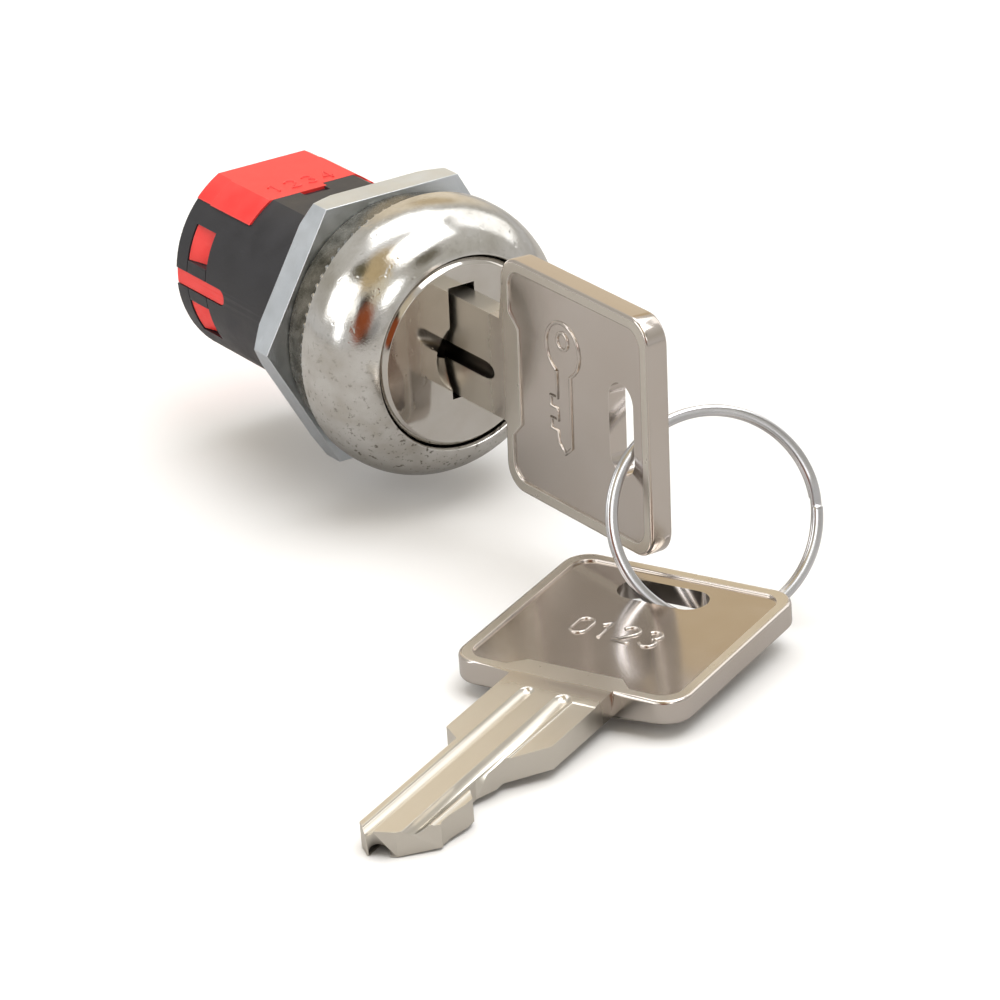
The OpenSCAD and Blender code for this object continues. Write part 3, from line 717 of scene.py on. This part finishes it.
# the room's colours run from a little below the horizon to straight up, as sines of elevation
w_height.inputs["From Min"].default_value = -0.3
w_height.inputs["From Max"].default_value = 1.0
w_ramp = world_node("ShaderNodeValToRGB")
# where each colour of the empty room sits on that run, and the colour
ROOM = (
    (0.0, (0.56, 0.55, 0.54)), (0.22, (0.60, 0.59, 0.575)), (0.36, (0.60, 0.58, 0.55)),
    (0.55, (0.52, 0.50, 0.45)), (0.78, (0.66, 0.64, 0.60)), (1.0, (0.95, 0.94, 0.93)),
)
w_ramp.color_ramp.elements[0].color = (*ROOM[0][1], 1)
w_ramp.color_ramp.elements[1].color = (*ROOM[-1][1], 1)
for at, color in ROOM[1:-1]:
    w_ramp.color_ramp.elements.new(at).color = (*color, 1)
wt.links.new(w_coord.outputs["Generated"], w_split.inputs[0])
wt.links.new(w_split.outputs["Z"], w_height.inputs["Value"])
wt.links.new(w_height.outputs["Result"], w_ramp.inputs["Fac"])
room = w_ramp.outputs["Color"]
# Soft-edged bright and dark things standing in the room, which only reflections and light show:
# azimuth, elevation and radius in degrees, how soft the edge is, colour.
CARDS = (
    (-84, 10, 7, 0.4, (2.3, 2.3, 2.3)),
    (-68, 26, 6, 0.5, (1.6, 1.58, 1.5)),
    (-18, 26, 8, 0.3, (2.8, 2.8, 2.8)),
    (-38, 36, 11, 0.5, (0.74, 0.67, 0.52)),
    (14, 62, 10, 0.4, (2.4, 2.4, 2.4)),
    (-112, 30, 8, 0.4, (1.8, 1.8, 1.8)),
    (-61, 58, 18, 0.4, (0.56, 0.43, 0.24)),
    (-98, 50, 11, 0.3, (0.13, 0.11, 0.06)),
    (14, 41, 9, 0.3, (0.17, 0.15, 0.11)),
    (-53, 27, 9, 0.3, (0.05, 0.04, 0.03)),
    (-48, 14, 13, 0.25, (0.30, 0.075, 0.025)),
    (-42, -3, 9, 0.3, (0.06, 0.04, 0.03)),
    (-29, 6, 6, 0.4, (0.30, 0.29, 0.28)),
    (152, 22, 24, 0.4, (0.92, 0.80, 0.62)),
    (140, 32, 8, 0.5, (0.66, 0.53, 0.34)),
)
for azimuth, elevation, wide, soft, color in CARDS:
    dot = world_node("ShaderNodeVectorMath", operation="DOT_PRODUCT")
    wt.links.new(w_coord.outputs["Generated"], dot.inputs[0])
    dot.inputs[1].default_value = toward(azimuth, elevation)
    near = world_node("ShaderNodeMapRange", interpolation_type="SMOOTHSTEP")
    near.inputs["From Min"].default_value = math.cos(math.radians(wide * (1 + soft)))
    near.inputs["From Max"].default_value = math.cos(math.radians(wide * (1 - soft)))
    wt.links.new(dot.outputs["Value"], near.inputs["Value"])
    blend = world_node("ShaderNodeMix", data_type="RGBA")
    wt.links.new(near.outputs["Result"], blend.inputs[0])
    wt.links.new(room, blend.inputs[MIX_A])
    blend.inputs[MIX_B].default_value = (*color, 1)
    room = blend.outputs[MIX_OUT]
wt.links.new(room, w_room.inputs["Color"])
w_room.inputs["Strength"].default_value = 1.0
# the camera itself sees plain white past the floor
w_seen.inputs["Color"].default_value = (1, 1, 1, 1)
wt.links.new(w_path.outputs["Is Camera Ray"], w_mix.inputs["Fac"])
wt.links.new(w_room.outputs[0], w_mix.inputs[1])
wt.links.new(w_seen.outputs[0], w_mix.inputs[2])
wt.links.new(w_mix.outputs[0], w_out.inputs["Surface"])

# ---------------------------------------------------------------- camera
CAMERA_AT = Vector((-0.211844, -0.327332, 0.158252))
LOOK_AT = Vector((0.001302, -0.008241, -0.012486))
CAMERA_ROLL = 2.336
SENSOR_MM = 36.0
LENS_MM = 187.34
cam_data = bpy.data.cameras.new("camera")
cam_data.sensor_width = SENSOR_MM
cam_data.lens = LENS_MM
cam_data.clip_start = 0.01
cam_data.clip_end = 20.0
cam = bpy.data.objects.new("camera", cam_data)
bpy.context.scene.collection.objects.link(cam)
aim = (LOOK_AT - CAMERA_AT).to_track_quat("-Z", "Y").to_matrix().to_4x4()
roll = Matrix.Rotation(math.radians(-CAMERA_ROLL), 4, "Z")
cam.matrix_world = Matrix.Translation(CAMERA_AT) @ aim @ roll
bpy.context.scene.camera = cam

scene = bpy.context.scene
scene.view_settings.view_transform = "Standard"
scene.view_settings.look = "None"
scene.view_settings.exposure = 0.0
